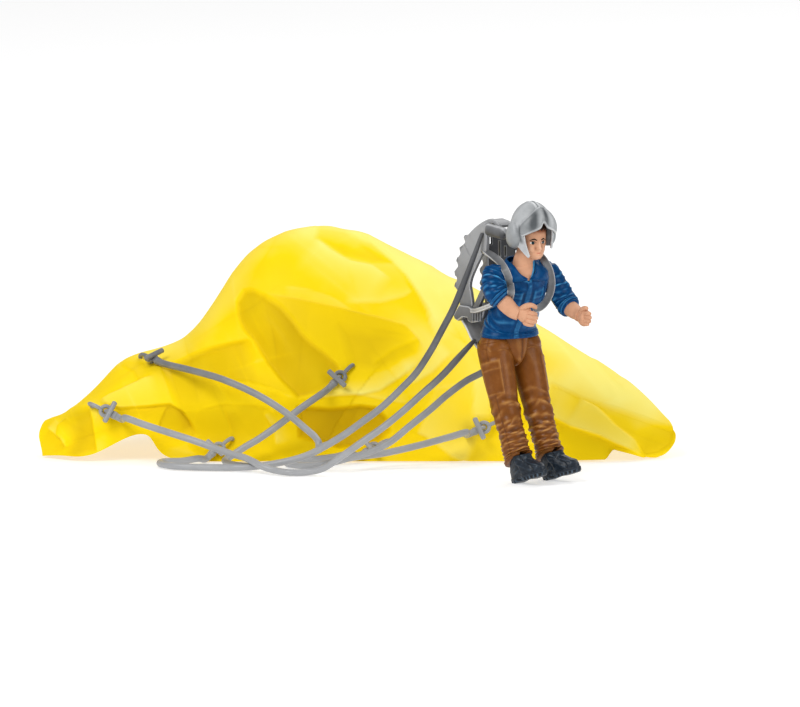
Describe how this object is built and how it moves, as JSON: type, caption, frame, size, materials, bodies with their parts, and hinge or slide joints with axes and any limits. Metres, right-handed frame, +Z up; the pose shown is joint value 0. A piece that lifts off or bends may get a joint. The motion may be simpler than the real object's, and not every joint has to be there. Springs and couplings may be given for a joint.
{
  "type": "toy parachute",
  "caption": "Toy parachute: crumpled cloth canopy, forked moulded lines with ring-and-bar ends, and a pack frame worn by a jointed helmeted parachutist figure.",
  "frame": {"origin": "middle of the flat of the right boot's heel, on the ground", "axes": "+Z up, +X along the heap towards its right tip as the picture shows it, +Y away from the viewer into the heap"},
  "size_m": [0.2208, 0.1736, 0.0981],
  "materials": {
    "yellow_cloth": "thin woven nylon, slightly sheer",
    "line_plastic": "soft moulded plastic, satin",
    "pack_plastic": "moulded plastic, satin",
    "helmet_plastic": "painted plastic, satin",
    "shirt_paint": "hand-painted plastic",
    "trouser_paint": "hand-painted plastic",
    "boot_paint": "hand-painted plastic",
    "skin_paint": "hand-painted plastic",
    "axle_plastic": "bare moulded plastic"
  },
  "bodies": {
    "parachute": {"canopy": "yellow_cloth", "line_top": "line_plastic", "line_lower": "line_plastic", "line_far": "line_plastic", "line_left_branch": "line_plastic", "line_centre_branch": "line_plastic", "line_right_branch": "line_plastic", "line_end_left_high": "line_plastic", "line_end_left_low": "line_plastic", "line_end_centre": "line_plastic", "line_end_right": "line_plastic", "line_end_ground_left": "line_plastic", "line_end_ground_right": "line_plastic", "torso": "shirt_paint", "pelvis": "trouser_paint", "hip_axle": "axle_plastic", "shoulder_axle_right": "axle_plastic", "shoulder_axle_left": "axle_plastic", "head": "skin_paint", "pack_back_plate": "pack_plastic", "pack_top_cover": "pack_plastic", "pack_tray": "pack_plastic", "pack_tail_flap": "pack_plastic", "pack_side_plate_right": "pack_plastic", "pack_side_plate_left": "pack_plastic", "pack_hook_right": "pack_plastic", "pack_hook_left": "pack_plastic", "shoulder_strap_right": "pack_plastic", "shoulder_strap_left": "pack_plastic"},
    "helmet": {"helmet_shell": "helmet_plastic", "helmet_visor": "helmet_plastic", "ear_cup_right": "helmet_plastic", "ear_cup_left": "helmet_plastic"},
    "right_arm": {"arm_right": "shirt_paint"},
    "left_arm": {"arm_left": "shirt_paint"},
    "right_leg": {"leg_right": "trouser_paint", "boot_right": "boot_paint"},
    "left_leg": {"leg_left": "trouser_paint", "boot_left": "boot_paint"}
  },
  "joints": [
    {"name": "helmet_lift", "type": "slide", "parent": "parachute", "child": "helmet", "axis": [0, 0, 1], "range_m": [0, 0.018]},
    {"name": "shoulder_right", "type": "hinge", "parent": "parachute", "child": "right_arm", "pos_m": [-0.008, -0.00218, 0.0709], "axis": [0.8192, 0.5736, 0], "range_deg": [-75, 10]},
    {"name": "shoulder_left", "type": "hinge", "parent": "parachute", "child": "left_arm", "pos_m": [0.01199, 0.01426, 0.0673], "axis": [0.8192, 0.5736, 0], "range_deg": [-75, 10]},
    {"name": "hip_right", "type": "hinge", "parent": "parachute", "child": "right_leg", "pos_m": [-0.00762, 0.01053, 0.0441], "axis": [0.8192, 0.5736, 0], "range_deg": [-40, 20]},
    {"name": "hip_left", "type": "hinge", "parent": "parachute", "child": "left_leg", "pos_m": [0.00254, 0.01765, 0.0441], "axis": [0.8192, 0.5736, 0], "range_deg": [-40, 20]}
  ]
}
